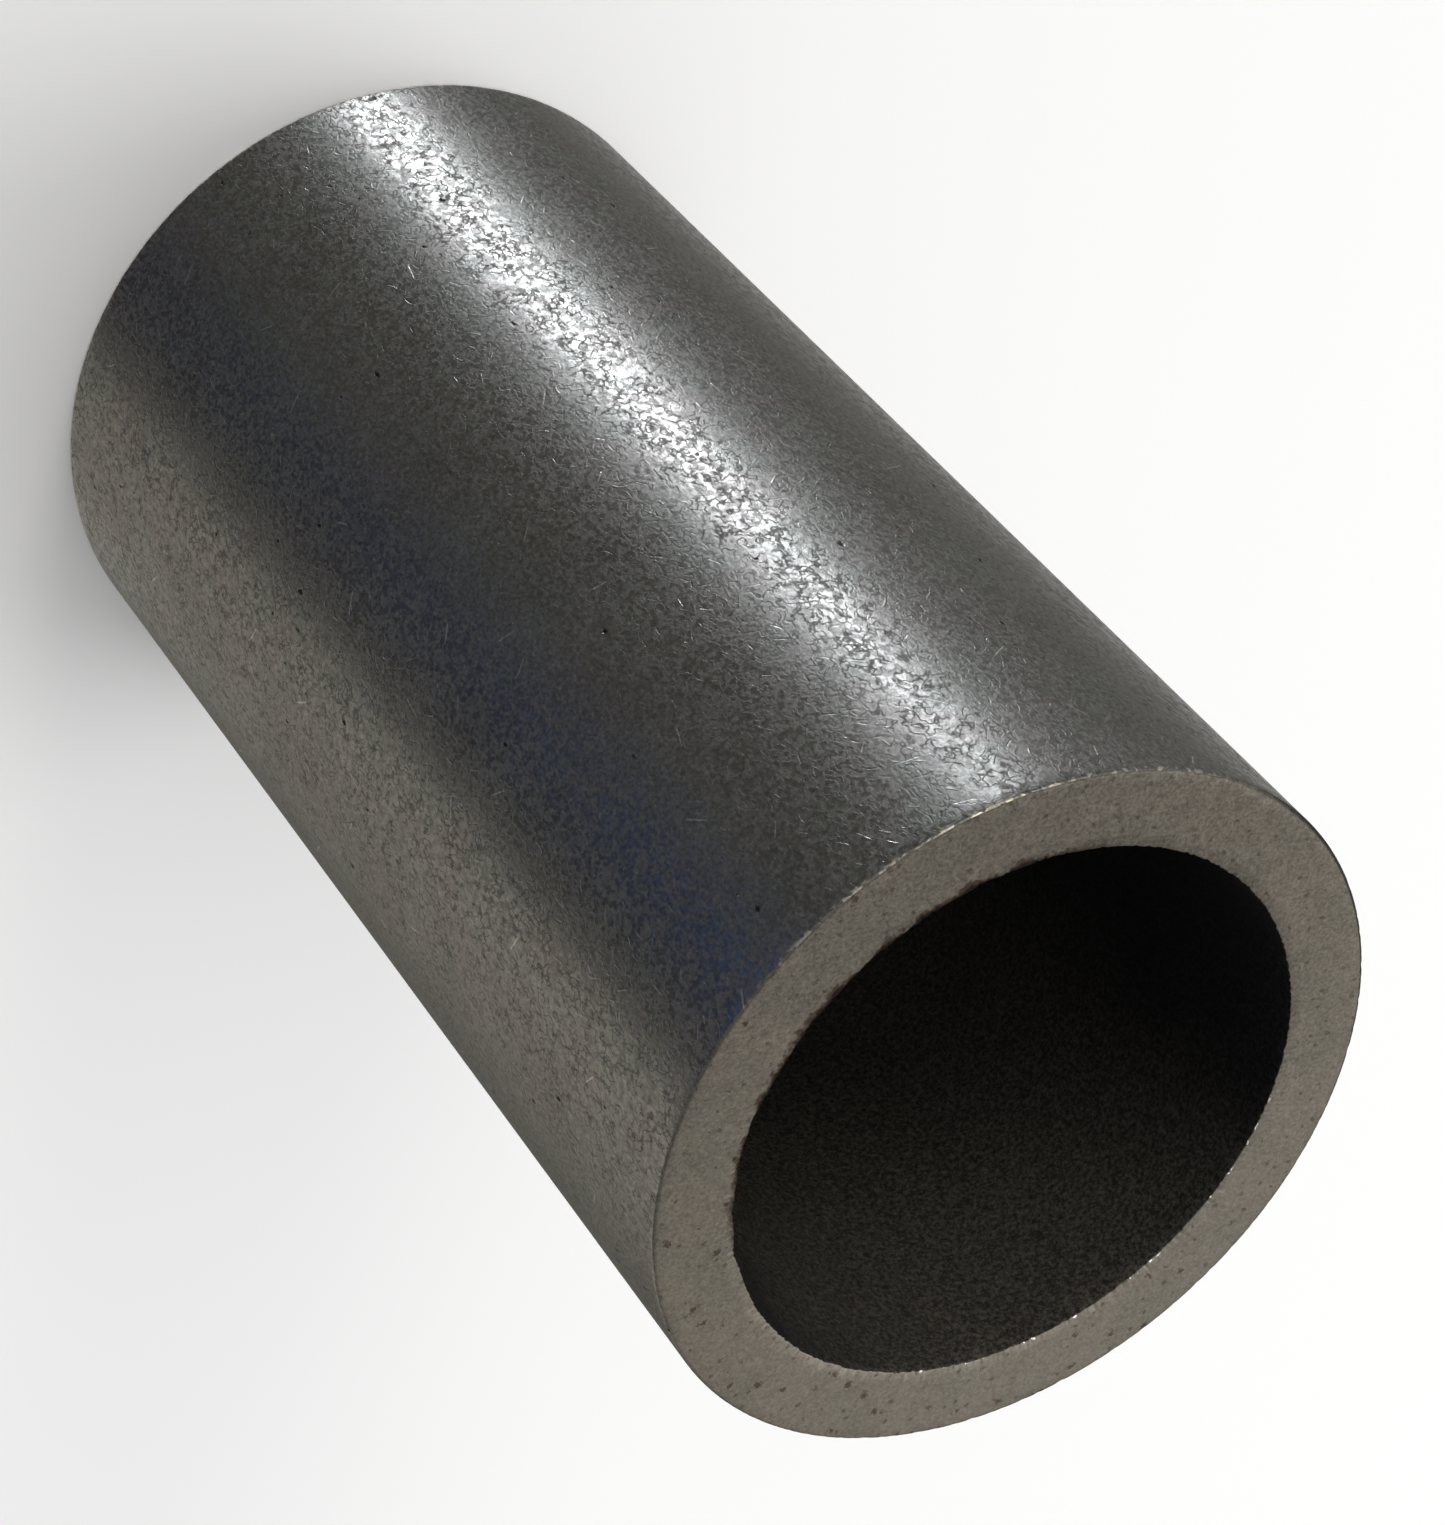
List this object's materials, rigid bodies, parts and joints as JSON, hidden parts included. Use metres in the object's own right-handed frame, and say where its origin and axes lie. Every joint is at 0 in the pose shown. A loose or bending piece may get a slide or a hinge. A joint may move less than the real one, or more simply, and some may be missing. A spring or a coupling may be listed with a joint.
{
  "type": "spacer sleeve",
  "caption": "Plain round steel spacer sleeve with square-cut ends and a through bore for a bolt or pin.",
  "frame": {"origin": "centre of the lower end face, on the axis of the bore", "axes": "+Z along the bore, from the lower end face to the upper one; the sleeve is round about +Z, so +X and +Y are any two square directions"},
  "size_m": [0.0269, 0.0268, 0.05],
  "materials": {
    "steel": "tumbled satin, bare"
  },
  "bodies": {
    "root": {"spacer_sleeve": "steel"}
  },
  "joints": []
}
